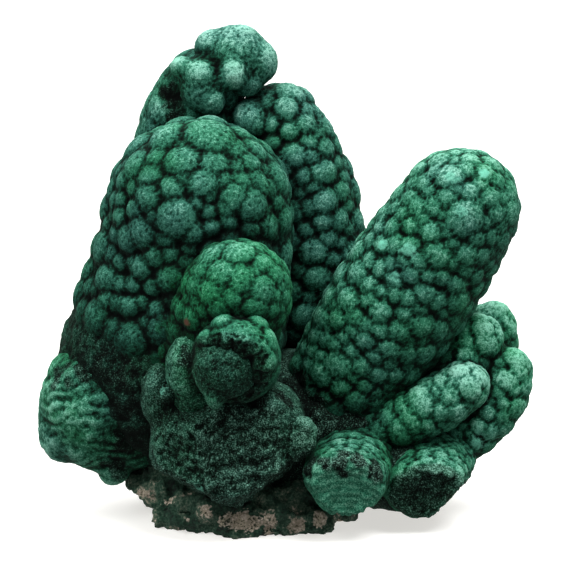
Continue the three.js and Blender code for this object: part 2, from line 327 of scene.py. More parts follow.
@dataclass(frozen=True)
class Break:
    """The face that a snapped-off end left.

    Attributes:
        point: a point of the face, in millimetres.
        normal: the direction that it faces.
        reach: its radius, in millimetres.
        rough: how far it rises and falls, in millimetres.
        shade: how dark it is, from 0 to 1.
        banded: how clear its growth bands are, from 0 to 1.
        grain: width of its rises and falls, in millimetres.
        rim: how far behind the face its colour still shows, in millimetres.
    """

    point: Point
    normal: Point
    reach: float
    rough: float
    shade: float = 0.0
    banded: float = 0.0
    grain: float = 2.4
    rim: float = 1.6

    @property
    def facing(self) -> np.ndarray:
        """The direction that it faces, of length 1."""
        return np.array(self.normal) / np.linalg.norm(self.normal)

    def depth(self, points: np.ndarray) -> np.ndarray:
        """How far points stand out past the face, in metres."""
        return (points - np.array(self.point) * MM) @ self.facing

    def share(self, points: np.ndarray) -> np.ndarray:
        """How far points are on the face.

        Args:
            points: an array of points, in metres.

        Returns:
            A number from 0 to 1 for each point.
        """
        away = points - np.array(self.point) * MM
        away -= np.outer(away @ self.facing, self.facing)
        within = np.linalg.norm(away, axis=1) < self.reach * MM
        return within * np.clip(self.rim + self.depth(points) / MM, 0, 1)


@dataclass(frozen=True)
class Lobe:
    """A larger swelling, where the photograph shows it.

    Attributes:
        across: pixels from the left edge to its middle.
        down: pixels from the top edge to its middle.
        width: its width in the photograph, in pixels.
        height: its height there, in pixels.
        turn: how far it is turned clockwise, in degrees.
        out: how far it stands out of what carries it, in millimetres.
        thick: half its thickness from front to back, in millimetres.
    """

    across: int
    down: int
    width: int
    height: int
    turn: float = 0.0
    out: float = 1.5
    thick: float = 3.5


@dataclass(frozen=True)
class Hollow:
    """A place where the stone is broken away, where the photograph shows it.

    Attributes:
        across: pixels from the left edge to its middle.
        down: pixels from the top edge to its middle.
        radius: its radius in the photograph, in pixels.
        depth: how deep it is, in millimetres.
        margin: how much deeper than that the surface may lie and still be pressed in, in millimetres.
        edge_on: cosine between the line of sight and a surface that is turned away from it.
    """

    across: int
    down: int
    radius: float
    depth: float
    margin: float = 3.0
    edge_on: float = 0.2


@dataclass(frozen=True)
class Layers:
    """Thin layers that end in ripples on a surface.

    Attributes:
        pitch: the height from one ripple to the next, in millimetres.
        rise: how far they stand out, in millimetres.
        lean: how far they climb for each millimetre to the right.
        waver: how far they waver up and down, and over what width, in millimetres.
        fading: the width over which they come and go, in millimetres.
        faintest: what share is left of them where they are faintest.
    """

    pitch: float = 3.0
    rise: float = 0.17
    lean: float = 0.25
    waver: tuple[float, float] = (4.0, 14.0)
    fading: float = 8.0
    faintest: float = 0.1

    def out(self, points: np.ndarray) -> np.ndarray:
        """How far the layers stand out at points.

        Args:
            points: an array of points, in metres.

        Returns:
            One number for each point, in metres.
        """
        reach, width = self.waver
        seam = points[:, 2] / MM - self.lean * points[:, 0] / MM + reach * rises(points, width)
        share = np.clip(0.5 + rises(points, self.fading), self.faintest, 1)
        return self.rise * MM * np.sin(seam * math.tau / self.pitch) * share


@dataclass(frozen=True)
class Height:
    """How high a point counts among its surroundings, which sets the nap's painted light and painted shade
    there.

    Attributes:
        level: what level ground counts.
        near: how many times the points are smoothed to find the creases.
        far: how many times more, to find the tops of nodules.
        top: how much lighter a top is: partly the nap's haze, partly painted light.
        top_reach: how far a top stands out, in millimetres.
        crease: how much painted shade a crease takes away.
        crease_reach: how deep a crease is, in millimetres.
        ridge: the most that a ridge adds, as a share of what a crease takes away.
        upward: how much painted light facing upwards adds.
        gap: how much painted shade a narrow gap between two growths takes away.
        gap_reach: how wide such a gap is, in millimetres.
        crusted: the share of tops and creases that a dark crust hides.
        dark: how much a dark patch takes away.
    """

    level: float = 0.5
    near: int = 2
    far: int = 50
    top: float = 0.28
    top_reach: float = 0.9
    crease: float = 0.34
    crease_reach: float = 0.1
    ridge: float = 0.25
    upward: float = 0.1
    gap: float = 0.24
    gap_reach: float = 6.0
    crusted: float = 0.65
    dark: float = 0.2


@dataclass(frozen=True)
class Growth:
    """One growth of malachite, such as a column with all its nodules.

    Attributes:
        name: what it is.
        bodies: the bodies that it is made of.
        skin: how its surface formed.
        nodules: the widths of its smallest and largest nodules, in millimetres, or none.
        relief: how far a nodule stands out, as a share of half its width.
        inset: how far the nodules' feet lie inside the bodies, in millimetres.
        fresh: how vivid its green is, from 0, hazy, to 1.
        shade: how dark its crust is, from 0 to 1.
        haze: how much paler its nap is than most, from -1 to 1.
        voxel: edge of its mesh, in millimetres, longer where it is mostly hidden.
        seen: its larger nodules in the photograph.
        lobes: its larger swellings.
        hollows: where it is broken away.
        breaks: the faces of its snapped-off ends.
    """

    name: str
    bodies: tuple[Column | Mass, ...]
    skin: Skin = Skin.NODULAR
    nodules: tuple[float, float] | None = None
    relief: float = 0.4
    inset: float = 0.9
    fresh: float = 0.3
    shade: float = 0.0
    haze: float = 0.0
    voxel: float = 0.46
    seen: tuple[Seen, ...] = ()
    lobes: tuple[Lobe, ...] = ()
    hollows: tuple[Hollow, ...] = ()
    breaks: tuple[Break, ...] = ()

    def away(self, points: np.ndarray) -> np.ndarray:
        """How far points are from its bodies, in metres, less than 0 inside."""
        return np.min([body.away(points) for body in self.bodies], axis=0)


GROWTHS: tuple[Growth, ...] = (
    Growth(
        "left_column",
        (Column(((-25.6, 5.9, 47, 26), (-23.2, 5.3, 57, 24.4), (-20.6, 3.3, 73.8, 22.8))),),
        nodules=(5.4, 9.0), relief=0.62, inset=1.7, fresh=0.24, haze=-0.03, voxel=0.5,
        seen=LEFT_COLUMN_NODULES,
    ),
    Growth(
        "left_foot",
        (Mass((-27.8, 6.3, 36), (27.8, 26.6, 26.6)),),
        skin=Skin.GRANULAR, nodules=(3.4, 5.0), relief=0.25, inset=0.6, fresh=0.3, shade=0.45,
        voxel=0.62, seen=LEFT_FOOT_NODULES,
    ),
    Growth(
        "left_skirt",
        (
            Mass((-44.2, -0.5, 28.0), (15.5, 16, 17), 14),
            Mass((-53.0, -1.2, 21.5), (7.6, 9, 8.6)),
            Mass((-36.5, -2.0, 23.5), (12, 12, 12)),
            Mass((-41.6, -4.2, 13.4), (4.4, 6.0, 5.8)),
        ),
        skin=Skin.LAYERED, inset=0.3, fresh=0.45, shade=0.1, haze=0.15,
    ),
    Growth(
        "crown_column",
        (Column(((-24.0, 19.0, 63, 11.5), (-25.0, 22.6, 84, 12.6), (-20.3, 21.3, 101.5, 10.2))),),
        nodules=(4.6, 7.6), relief=0.42, inset=0.8, fresh=0.15, haze=0.03, voxel=0.52,
        lobes=(Lobe(152, 107, 17, 42, 18, 1.0, 3.0),),
        hollows=(Hollow(171, 96, 15, 1.2), Hollow(176, 114, 13, 1.0)),
    ),
    Growth(
        "crown",
        (
            Mass((-11.9, 19.3, 110.0), (8.6, 8.8, 8.4)),
            Mass((-17.3, 19.0, 112.4), (5.2, 6.0, 5.0)),
            Mass((-10.6, 18.0, 113.6), (5.0, 5.5, 5.0)),
            Mass((-6.0, 17.5, 109.0), (4.8, 5.5, 5.6)),
            Mass((-9.4, 15.8, 104.4), (4.4, 4.6, 4.2)),
            Mass((-20.3, 13.9, 103.0), (5.6, 6.2, 7.6)),
            Mass((-20.6, 11.6, 106.2), (4.2, 4.2, 4.0)),
            Mass((-17.8, 11.2, 100.2), (3.8, 3.8, 4.2)),
            Mass((-25.0, 14.5, 108.0), (3.4, 4.0, 3.2)),
            Mass((-12.6, 10.8, 106.4), (3.3, 3.4, 4.0)),
        ),
        inset=0.2, fresh=0.14, haze=0.07,
    ),
    Growth(
        "rear_column",
        (
            Column(((6.3, 21.3, 48, 15.6), (4.2, 21.3, 73, 14.4), (-1.0, 21.3, 93.0, 10.6))),
            Mass((-8.7, 17.3, 93.6), (6, 6, 6)),
        ),
        nodules=(4.8, 8.0), relief=0.62, inset=1.6, fresh=0.17, voxel=0.5, seen=REAR_COLUMN_NODULES,
    ),
    Growth(
        "right_column",
        (Column(((10.4, -2.7, 28, 12.2), (26.3, -3.7, 51.8, 16.2), (41.8, -4.7, 76, 14.5))),),
        nodules=(4.2, 6.6), relief=0.54, inset=1.2, fresh=0.42, haze=0.05, voxel=0.48,
        seen=RIGHT_COLUMN_NODULES,
    ),
    Growth(
        "front_knob",
        (Column(((-22.0, -10.7, 35, 12), (-16.0, -14.7, 47.5, 13.4), (-10.9, -19.7, 58, 13))),),
        nodules=(3.8, 6.2), relief=0.52, inset=1.2, fresh=0.75, seen=KNOB_NODULES,
    ),
    Growth(
        "front_stub",
        (Column(((-15.1, -10.7, 39, 11), (-12.0, -22.7, 42.8, 11), (-11.0, -33.0, 45.3, 9.6))),),
        nodules=(3.2, 5.5), relief=0.3, inset=0.6, fresh=0.6,
        lobes=(
            Lobe(207, 337, 22, 15, -35, 1.6, 3.4),
            Lobe(222, 325, 26, 19, -35, 1.8, 3.6),
            Lobe(239, 319, 30, 21, 5, 1.8, 3.6),
            Lobe(257, 327, 26, 21, 35, 1.8, 3.6),
            Lobe(268, 343, 18, 30, -10, 1.6, 3.4),
            Lobe(268, 362, 16, 24, 10, 1.4, 3.2),
            Lobe(205, 308, 52, 22, -10, 1.0, 3.4),
            Lobe(178, 328, 26, 44, 22, 1.0, 3.4),
        ),
        breaks=(Break((-11.5, -36.5, 45), (-0.25, -0.87, -0.42), 13, 1.0, shade=0.4),),
    ),
    Growth(
        "front_ball",
        (
            Mass((-13.6, -33.6, 43.4), (8.0, 6.6, 8.2)),
            Mass((-16.0, -36.0, 36.8), (2.4, 3.2, 3.6)),
            Mass((-22.0, -23.5, 41.0), (6.4, 8.0, 9.5)),
            Mass((-20.5, -22.0, 34.0), (7.0, 8.0, 6.0)),
        ),
        skin=Skin.GRANULAR, inset=0.5, fresh=0.5, shade=0.4, haze=0.14,
    ),
    Growth(
        "front_mass",
        (
            Mass((-14.1, -10.7, 22), (18, 20, 18)),
            Mass((-22.6, -18.7, 22.4), (9.8, 13, 13.6)),
            Mass((-13.0, -18.5, 22.5), (16.5, 19, 15.5)),
            Mass((-3.6, -17.7, 27), (9, 13, 10)),
            Mass((-28.6, -19.8, 33.5), (5.8, 7.2, 9.0)),
            Mass((3.7, -23.7, 24.5), (4.4, 4.9, 5.6)),
        ),
        skin=Skin.GRANULAR, inset=0.5, fresh=0.25, shade=0.65, haze=0.05,
        lobes=(
            Lobe(169, 395, 24, 20, -20, 2.0, 3.4),
            Lobe(300, 438, 32, 46, 8, 1.6, 3.4),
            Lobe(264, 408, 44, 36, 20, 1.2, 4.0),
        ),
        hollows=(Hollow(277, 495, 24, 4.0), Hollow(196, 400, 15, 2.0)),
        breaks=(
            Break((-8.0, -31.4, 21), (0.16, -0.98, 0.05), 18, 0.8, shade=0.8),
            Break((-24.0, -29.9, 21), (-0.5, -0.86, -0.05), 13, 0.8, shade=0.5),
            # The two faces underneath are broken faces painted dark: painted shade under the mass.
            Break((-21.3, -28.0, 13.7), (-0.48, -0.25, -0.84), 14, 0.8, shade=0.9),
            Break((-5.1, -28.0, 14.1), (0.6, -0.25, -0.75), 14, 0.8, shade=0.9),
        ),
    ),
    Growth(
        "right_fingers",
        (
            Column(((21.9, -8.7, 23, 7.5), (32.9, -10.7, 28, 7.2), (42.9, -10.7, 34, 6.4))),
            Column(((25.9, 1.3, 26, 10), (37.9, 0.3, 35, 9), (46.4, -0.7, 43, 7))),
            Column(((42.9, -1.7, 20.5, 7.6), (50.4, -1.7, 28, 7.8), (54.1, -0.7, 35.2, 6.4))),
            Column(((43.9, 13.3, 28, 10), (49.1, 10.3, 38.5, 8.5), (50.5, 8.3, 45, 6.2))),
        ),
        nodules=(3.6, 5.6), relief=0.54, inset=1.1, fresh=0.5, haze=0.09, seen=FINGER_NODULES,
    ),
    Growth(
        "banded_stub",
        (Column(((16.9, -6.7, 18, 10), (15.4, -16.7, 16, 10.4), (13.8, -25.5, 14.8, 10)), 0.86),),
        nodules=(2.8, 4.2), relief=0.45, inset=0.6, fresh=0.5, haze=0.03, seen=BANDED_STUB_NODULES,
        breaks=(
            Break((14.5, -29.5, 10.5), (0.05, -0.95, -0.3), 12.5, 0.6, banded=1.0),
            Break((7.4, -24.0, 9.5), (-0.8, -0.3, -0.52), 9, 0.8, banded=0.7),
            Break((16.0, -25.0, 6.6), (0.1, -0.3, -0.95), 9, 0.8, banded=0.7),
        ),
    ),
    Growth(
        "dark_stub",
        (Column(((36.5, 3.3, 17.5, 11), (35.2, -6.7, 14, 11), (33.5, -16.7, 11.4, 10.4)), 0.76),),
        nodules=(2.8, 4.2), relief=0.45, inset=0.6, fresh=0.5, haze=0.13, seen=DARK_STUB_NODULES,
        breaks=(
            Break((33.9, -21.0, 9.0), (0.1, -0.96, -0.25), 13, 0.6, shade=0.75),
            Break((40.0, -18.0, 9.6), (0.72, -0.25, -0.64), 9, 0.6, shade=0.2),
        ),
    ),
    Growth(
        "core",
        (Mass((2.9, 5.3, 22), (38, 24, 18)), Mass((27.9, -2.7, 12.5), (17, 18, 11))),
        # Its crust is nearly black: dark crust, darkened further as painted shade in the recess between the
        # stubs and the masses.
        skin=Skin.GRANULAR, inset=0.5, fresh=0.2, shade=0.9, voxel=0.85,
    ),
    Growth(
        "back_mound",
        (Mass((-12.1, 25.3, 34), (20, 16, 27)), Mass((24.9, 17.3, 26), (18, 17, 17))),
        nodules=(4.6, 8.0), relief=0.65, inset=1.7, fresh=0.25, voxel=0.7,
    ),
)

# Where the photograph shows patches of another colour: pixels across and down, their radius in pixels,
# and how strong the tint is, from 0 to 1.
PATCHES: dict[Tint, tuple[StainOrShade, ...]] = {
    Tint.PALE: (
        (84, 392, 9, 0.35), (60, 402, 8, 0.3), (424, 458, 12, 0.25), (450, 463, 10, 0.25),
        (450, 177, 10, 0.6), (484, 173, 5, 0.8), (461, 210, 7, 0.6), (383, 245, 6, 0.8),
        (408, 248, 9, 0.7), (395, 279, 8, 0.6), (382, 292, 5, 0.8), (430, 228, 8, 0.4),
        (330, 380, 20, 0.25), (197, 488, 9, 0.7), (166, 388, 9, 0.7), (147, 375, 11, 0.45),
        (480, 437, 15, 0.7), (234, 338, 14, 0.5), (332, 447, 9, 0.4), (352, 445, 9, 0.4),
        (369, 448, 8, 0.4),
    ),
    Tint.DARK: (
        (171, 96, 15, 0.85), (176, 113, 13, 0.85), (58, 374, 14, 0.8), (78, 370, 18, 0.8),
        (100, 366, 18, 0.8), (122, 376, 18, 0.8), (128, 408, 20, 0.75), (130, 440, 22, 0.75),
        # The dark patches from 258 to 312 across and 385 to 408 down are painted shade in the deep gap beside
        # the front ball; the rest are dark, granular crust.
        (118, 466, 16, 0.75), (189, 356, 16, 0.8), (284, 398, 16, 1.0), (300, 385, 18, 1.0),
        (312, 408, 14, 1.0), (258, 400, 14, 0.9), (309, 468, 13, 1.0), (324, 465, 14, 1.0),
        (341, 462, 15, 1.0), (358, 462, 15, 1.0), (375, 468, 14, 1.0),
    ),
    Tint.RUST: ((186, 323, 4, 1.0),),
    Tint.FRESH: (
        (68, 428, 24, 0.6), (455, 500, 12, 0.8), (185, 290, 22, 0.8), (170, 330, 18, 0.8),
    ),
    Tint.BARE: (
        (231, 522, 13, 0.9), (250, 520, 15, 1.0), (270, 525, 12, 0.8), (299, 523, 9, 0.9),
        (319, 519, 11, 1.0), (337, 521, 8, 0.8), (166, 503, 8, 0.9), (208, 513, 8, 0.9),
        (143, 493, 6, 0.8), (186, 522, 6, 0.7),
    ),
}


def linear(code: str) -> tuple[float, float, float, float]:
    """Turns an sRGB hex value to a linear colour.

    Args:
        code: six hex digits after a hash.

    Returns:
        Red, green, blue and an alpha of 1.
    """
    shares = [int(code[i : i + 2], 16) / 255 for i in (1, 3, 5)]
    r, g, b = (s / 12.92 if s <= 0.04045 else ((s + 0.055) / 1.055) ** 2.4 for s in shares)
    return (r, g, b, 1.0)


def add_node(
    tree: bpy.types.NodeTree,
    kind: str,
    inputs: dict[str | int, object] | None = None,
    stops: Stops = (),
    out: str | int = 0,
    **settings: object,
) -> bpy.types.NodeSocket | None:
    """Adds a node with its settings and links.

    Args:
        tree: the tree that the node goes into.
        kind: the node's type.
        inputs: by the name or number of an input, the socket that is linked to it, or its value. A
            colour may be a hex value.
        stops: the places and colours of a ramp.
        out: the name or number of the output that is wanted.
        **settings: the node's own properties.

    Returns:
        That output, or none for a node without outputs.
    """
    node = tree.nodes.new(kind)
    for name, value in settings.items():
        setattr(node, name, value)
    for key, value in (inputs or {}).items():
        if isinstance(value, bpy.types.NodeSocket):
            tree.links.new(value, node.inputs[key])
        else:
            node.inputs[key].default_value = linear(value) if isinstance(value, str) else value
    for _ in stops[2:]:
        node.color_ramp.elements.new(1.0)
    for element, (place, code) in zip(node.color_ramp.elements if stops else (), stops):
        element.position = place
        element.color = linear(code)
    return node.outputs[out] if node.outputs else None


def new_material(name: str) -> tuple[bpy.types.Material, bpy.types.NodeTree]:
    """Makes an empty material.

    Args:
        name: what it is.

    Returns:
        The material and its node tree.
    """
    material = bpy.data.materials.new(name)
    material.use_nodes = True
    material.node_tree.nodes.clear()
    return material, material.node_tree


@dataclass(frozen=True)
class VelvetMalachite:
    """Malachite grown as round nodules under a nap of fine fibres, like velvet.

    Its colour is lighter on the tops of the nodules and nearly black in the hollows between them: partly the
    nap's own haze, partly painted light and painted shade. It scatters light at the edges, which is its
    sheen, and it has no gloss.

    Attributes:
        fibre: width of a tuft of fibres, in millimetres, drawn as coarse as it needs to show.
        mottle: width of a cloudy patch, in millimetres.
        drift: width of the slow changes of green, in millimetres.
        band: width of one growth band on a broken face, in millimetres.
        band_centre: the middle of the bands, in millimetres.
        bump: height of the fibres' relief, in millimetres.
        cloudy: how far cloudy patches lighten and darken the nap, and the crust.
        specked: how far tufts do so.
        crust_dark: how much darker the crust is than the nap.
        drifting: how far the green drifts between hazy and vivid.
        band_waver: how far the bands waver, in radians.
        band_depth: how far they stand out among the fibres.
        bloom_spread: how far down the nodules the bloom reaches.
        bloom_start: the height at which it starts.
        bloom_edge: how sharply it starts.
        bump_mottle: how far cloudy patches take part in the relief.
        nap: colours of hazy nodules, from painted shade in the hollows to painted light on the tops.
        fresh: the same for vivid ones.
        crust: colours of the dark, sugary crust, which also takes painted light and painted shade.
        bands: colours of the growth bands.
        pale: colour of the mint bloom.
        rust: colour of a grain of rust.
        sheen: colour that the fibres scatter.
    """

    fibre: float = 0.33
    mottle: float = 2.6
    drift: float = 16.0
    band: float = 1.7
    band_centre: Point = (14.0, -29.0, 4.5)
    bump: float = 0.2
    cloudy: tuple[float, float] = (0.3, 0.25)
    specked: tuple[float, float] = (0.54, 2.2)
    crust_dark: float = 0.11
    drifting: float = 1.6
    band_waver: float = 9.0
    band_depth: float = 0.07
    bloom_spread: float = 0.7
    bloom_start: float = 0.85
    bloom_edge: float = 2.0
    bump_mottle: float = 0.6
    # Each ramp runs from painted shade in the hollows to painted light on the tops.
    nap: Stops = (
        (0.1, "#010302"), (0.35, "#061510"), (0.55, "#153a30"), (0.75, "#3a7062"),
        (1.0, "#9bd1c0"),
    )
    fresh: Stops = (
        (0.1, "#010302"), (0.35, "#051a0c"), (0.55, "#0e4428"), (0.75, "#25774d"),
        (1.0, "#74c19d"),
    )
    crust: Stops = (
        (0.1, "#010302"), (0.38, "#0e1914"), (0.6, "#2a453a"), (1.0, "#729c8c"),
    )
    bands: Stops = (
        (0.2, "#0d3022"), (0.42, "#24604a"), (0.58, "#478b70"), (0.8, "#86c0a6"),
    )
    pale: str = "#6fc0a6"
    rust: str = "#5a4034"
    sheen: str = "#8fd8b8"

    def material(self) -> bpy.types.Material:
        """Makes the material.

        Returns:
            A material that reads the piece's own attributes.
        """
        material, tree = new_material("velvet_malachite")
        place = add_node(tree, "ShaderNodeTexCoord", out="Object")
        fibres, mottle, drift = (
            add_node(
                tree, NOISE, {"Vector": place, "Scale": 1 / (width * MM), "Detail": detail, "Roughness": 0.55}
            )
            for width, detail in ((self.fibre, 2.0), (self.mottle, 3.0), (self.drift, 2.0))
        )
        height, fresh, shade, banded, pale, rust = (
            add_node(tree, "ShaderNodeAttribute", out="Fac", attribute_name=name)
            for name in ("height", "fresh", "shade", "banded", "pale", "rust")
        )
        # How far the noise rises and falls about its middle.
        speck, cloud, slow = (
            add_node(tree, MATH, {0: level, 1: 0.5}, operation="SUBTRACT")
            for level in (fibres, mottle, drift)
        )

        # Hazy and vivid green, and the dark, sugary crust of the masses and of the broken ends: each is
        # lighter towards the tops of the nodules and darker in creases and gaps, partly the nap's haze and
        # partly painted light and painted shade, with specks from the nap.
        lift = sugar = height
        for level, on_nap, on_crust in ((cloud, *self.cloudy), (speck, *self.specked)):
            lift = add_node(tree, MATH, {0: level, 1: on_nap, 2: lift}, operation="MULTIPLY_ADD")
            sugar = add_node(tree, MATH, {0: level, 1: on_crust, 2: sugar}, operation="MULTIPLY_ADD")
        sugar = add_node(tree, MATH, {0: sugar, 1: self.crust_dark}, operation="SUBTRACT")
        hazy, vivid, crust = (
            add_node(tree, RAMP, {"Fac": level}, stops)
            for level, stops in ((lift, self.nap), (lift, self.fresh), (sugar, self.crust))
        )
        vividness = add_node(
            tree, MATH, {0: slow, 1: self.drifting, 2: fresh}, operation="MULTIPLY_ADD", use_clamp=True
        )

        # Growth bands about the middle of a snapped-off column.
        centre = tuple(value * MM for value in self.band_centre)
        away = add_node(
            tree, "ShaderNodeVectorMath", {0: place, 1: centre}, out="Value", operation="DISTANCE"
        )
        turns = add_node(tree, MATH, {0: away, 1: math.tau / (self.band * MM)}, operation="MULTIPLY")
        turns = add_node(tree, MATH, {0: cloud, 1: self.band_waver, 2: turns}, operation="MULTIPLY_ADD")
        wave = add_node(tree, MATH, {0: turns}, operation="SINE")
        stripe = add_node(tree, MATH, {0: wave, 1: self.band_depth, 2: fibres}, operation="MULTIPLY_ADD")
        ring = add_node(tree, RAMP, {"Fac": stripe}, self.bands)

        # Mint bloom, which starts on the tops of the nodules.
        bloom = add_node(tree, MATH, {0: pale, 1: self.bloom_spread, 2: lift}, operation="MULTIPLY_ADD")
        bloom = add_node(tree, MATH, {0: bloom, 1: self.bloom_start}, operation="SUBTRACT")
        bloom = add_node(tree, MATH, {0: bloom, 1: self.bloom_edge}, operation="MULTIPLY", use_clamp=True)
        bloom = add_node(tree, MATH, {0: bloom, 1: pale}, operation="MULTIPLY")

        # What lies over the hazy green, from the lowest to the highest.
        covers = ((vividness, vivid), (banded, ring), (shade, crust), (bloom, self.pale), (rust, self.rust))
        colour = hazy
        for share, cover in covers:
            colour = add_node(tree, MIX, {0: share, 6: colour, 7: cover}, out=2, data_type="RGBA")

        relief = add_node(tree, MATH, {0: mottle, 1: self.bump_mottle, 2: fibres}, operation="MULTIPLY_ADD")
        bump = add_node(
            tree, "ShaderNodeBump", {"Height": relief, "Strength": 0.9, "Distance": self.bump * MM}
        )
        shader = add_node(
            tree,
            SHADER,
            {
                "Base Color": colour,
                "Normal": bump,
                "Roughness": 0.85,
                "IOR": 1.5,
                "Specular IOR Level": 0.04,
                "Sheen Weight": 0.03,
                "Sheen Roughness": 0.4,
                "Sheen Tint": self.sheen,
            },
        )
        add_node(tree, OUTPUT, {"Surface": shader})
        return material


@dataclass(frozen=True)
class CrustedRock:
    """Weathered host rock, broken rough: tan, grey and pinkish where bare, else under a green crust.

    Attributes:
        lump: width of a stretch of one colour, in millimetres.
        grit: width of a grain, in millimetres.
        bump: height of the grains, in millimetres.
        gritty: how far grains lighten and darken the crust.
        dark: how much darker that leaves it.
        contrast: how far grains lighten and darken the bare rock.
        dull: how much darker that leaves it.
        ragged: how far the edges of bare patches follow the grains and lumps.
        bare_start: how bare the rock is before its own colour shows.
        bare_edge: how sharply that starts.
        crust: colours of the crust.
        stone: colours of the bare rock.
    """

    lump: float = 5.0
    grit: float = 0.6
    bump: float = 0.35
    gritty: float = 0.6
    dark: float = 0.3
    contrast: float = 1.5
    dull: float = 0.18
    ragged: float = 3.0
    bare_start: float = 2.0
    bare_edge: float = 4.0
    crust: Stops = (
        (0.3, "#07120c"), (0.48, "#1b3a2b"), (0.6, "#465a4a"), (0.75, "#8a8874"),
    )
    stone: Stops = (
        (0.3, "#1d1a14"), (0.42, "#6a6455"), (0.55, "#a39a84"), (0.64, "#8d8478"),
        (0.76, "#c3b4a4"),
    )

    def material(self) -> bpy.types.Material:
        """Makes the material.

        Returns:
            A material that reads the piece's own attributes.
        """
        material, tree = new_material("crusted_host_rock")
        place = add_node(tree, "ShaderNodeTexCoord", out="Object")
        lumps, grit = (
            add_node(tree, NOISE, {"Vector": place, "Scale": 1 / (width * MM), "Detail": detail})
            for width, detail in ((self.lump, 6.0), (self.grit, 3.0))
        )
        bare = add_node(tree, "ShaderNodeAttribute", out="Fac", attribute_name=Tint.BARE.value)
        level = add_node(tree, MATH, {0: grit, 1: self.gritty, 2: lumps}, operation="MULTIPLY_ADD")
        level = add_node(tree, MATH, {0: level, 1: self.dark}, operation="SUBTRACT")
        grains = add_node(tree, MATH, {0: grit, 1: self.contrast, 2: -self.dull}, operation="MULTIPLY_ADD")
        crust = add_node(tree, RAMP, {"Fac": level}, self.crust)
        stone = add_node(tree, RAMP, {"Fac": grains}, self.stone)
        shown = add_node(tree, MATH, {0: level, 1: self.ragged, 2: bare}, operation="MULTIPLY_ADD")
        shown = add_node(tree, MATH, {0: shown, 1: self.bare_start}, operation="SUBTRACT")
        shown = add_node(tree, MATH, {0: shown, 1: self.bare_edge}, operation="MULTIPLY", use_clamp=True)
        colour = add_node(tree, MIX, {0: shown, 6: crust, 7: stone}, out=2, data_type="RGBA")
        bump = add_node(
            tree, "ShaderNodeBump", {"Height": level, "Strength": 0.9, "Distance": self.bump * MM}
        )
        shader = add_node(
            tree,
            SHADER,
            {"Base Color": colour, "Normal": bump, "Roughness": 0.92, "Specular IOR Level": 0.25},
        )
        add_node(tree, OUTPUT, {"Surface": shader})
        return material


@dataclass(frozen=True)
class GlowingFloor:
    """A matte white floor with an even painted glow, which washes out most of the shadow under the stone and
    leaves only a faint one.

    Attributes:
        sheet: colour of the sheet.
        light: colour of the painted glow.
        glow: strength of the painted glow.
    """

    sheet: str = "#c4c4c3"
    light: str = "#fffdf8"
    glow: float = 0.62

    def material(self) -> bpy.types.Material:
        """Makes the material.

        Returns:
            A material of one colour, with a painted glow.
        """
        material, tree = new_material("glowing_floor")
        shader = add_node(
            tree,
            SHADER,
            {
                "Base Color": self.sheet,
                "Roughness": 0.9,
                "Specular IOR Level": 0.1,
                "Emission Color": self.light,
                "Emission Strength": self.glow,
            },
        )
        add_node(tree, OUTPUT, {"Surface": shader})
        return material


def new_object(name: str, shape: bmesh.types.BMesh) -> bpy.types.Object:
    """Makes an object of a shape.

    Args:
        name: what it is.
        shape: the shape, which is freed.

    Returns:
        The object, linked into the scene.
    """
    mesh = bpy.data.meshes.new(name)
    shape.to_mesh(mesh)
    shape.free()
    made = bpy.data.objects.new(name, mesh)
    bpy.context.scene.collection.objects.link(made)
    return made


def apply_modifiers(piece: bpy.types.Object) -> None:
    """Turns what a piece's modifiers give into its own mesh.

    Args:
        piece: the piece.
    """
    graph = bpy.context.evaluated_depsgraph_get()
    mesh = bpy.data.meshes.new_from_object(piece.evaluated_get(graph))
    old = piece.data
    piece.modifiers.clear()
    piece.data = mesh
    bpy.data.meshes.remove(old)
    mesh.name = piece.name


def remesh(piece: bpy.types.Object, voxel: float, smooth: int) -> None:
    """Gives a piece an even mesh.

    Args:
        piece: the piece.
        voxel: the length of an edge, in millimetres.
        smooth: how many times its points are then moved half the way to their neighbours' middle.
    """
    even = piece.modifiers.new("even", "REMESH")
    even.mode = "VOXEL"
    even.voxel_size = voxel * MM
    soft = piece.modifiers.new("soft", "SMOOTH")
    soft.factor = 0.5
    soft.iterations = smooth
    apply_modifiers(piece)


def roughen(piece: bpy.types.Object, width: float, rise: float) -> None:
    """Raises cloudy lumps all over a piece.

    Args:
        piece: the piece.
        width: the width of a lump, in millimetres.
        rise: how far the highest stand above the lowest, in millimetres.
    """
    lumps = bpy.data.textures.new(f"{piece.name}_lumps", "CLOUDS")
    lumps.noise_scale = width * MM
    lumps.noise_depth = 2
    raised = piece.modifiers.new("lumps", "DISPLACE")
    raised.texture = lumps
    raised.texture_coords = "LOCAL"
    raised.strength = rise * MM
    raised.mid_level = 0.5
    apply_modifiers(piece)


def snap(piece: bpy.types.Object, face: Break) -> None:
    """Breaks a piece off at a face.

    Args:
        piece: the piece.
        face: the face that is left.
    """
    shape = bmesh.new()
    shape.from_mesh(piece.data)
    whole = shape.verts[:] + shape.edges[:] + shape.faces[:]
    point = Vector(face.point) * MM
    cut = bmesh.ops.bisect_plane(shape, geom=whole, plane_co=point, plane_no=face.normal, clear_outer=True)
    rim = [e for e in cut["geom_cut"] if isinstance(e, bmesh.types.BMEdge)]
    bmesh.ops.holes_fill(shape, edges=rim, sides=0)
    shape.to_mesh(piece.data)
    shape.free()


def read_all(items: bpy.types.bpy_prop_collection, name: str, width: int, kind: type = float) -> np.ndarray:
    """Reads one property of all of a mesh's points, edges or faces.

    Args:
        items: the points, edges or faces.
        name: the property.
        width: how many numbers each has.
        kind: the type of the numbers.

    Returns:
        The numbers, one item in each row.
    """
    numbers = np.empty(len(items) * width, kind)
    items.foreach_get(name, numbers)
    return numbers.reshape(-1, width)


def points_of(mesh: bpy.types.Mesh) -> np.ndarray:
    """A mesh's points, one in each row."""
    return read_all(mesh.vertices, "co", 3)


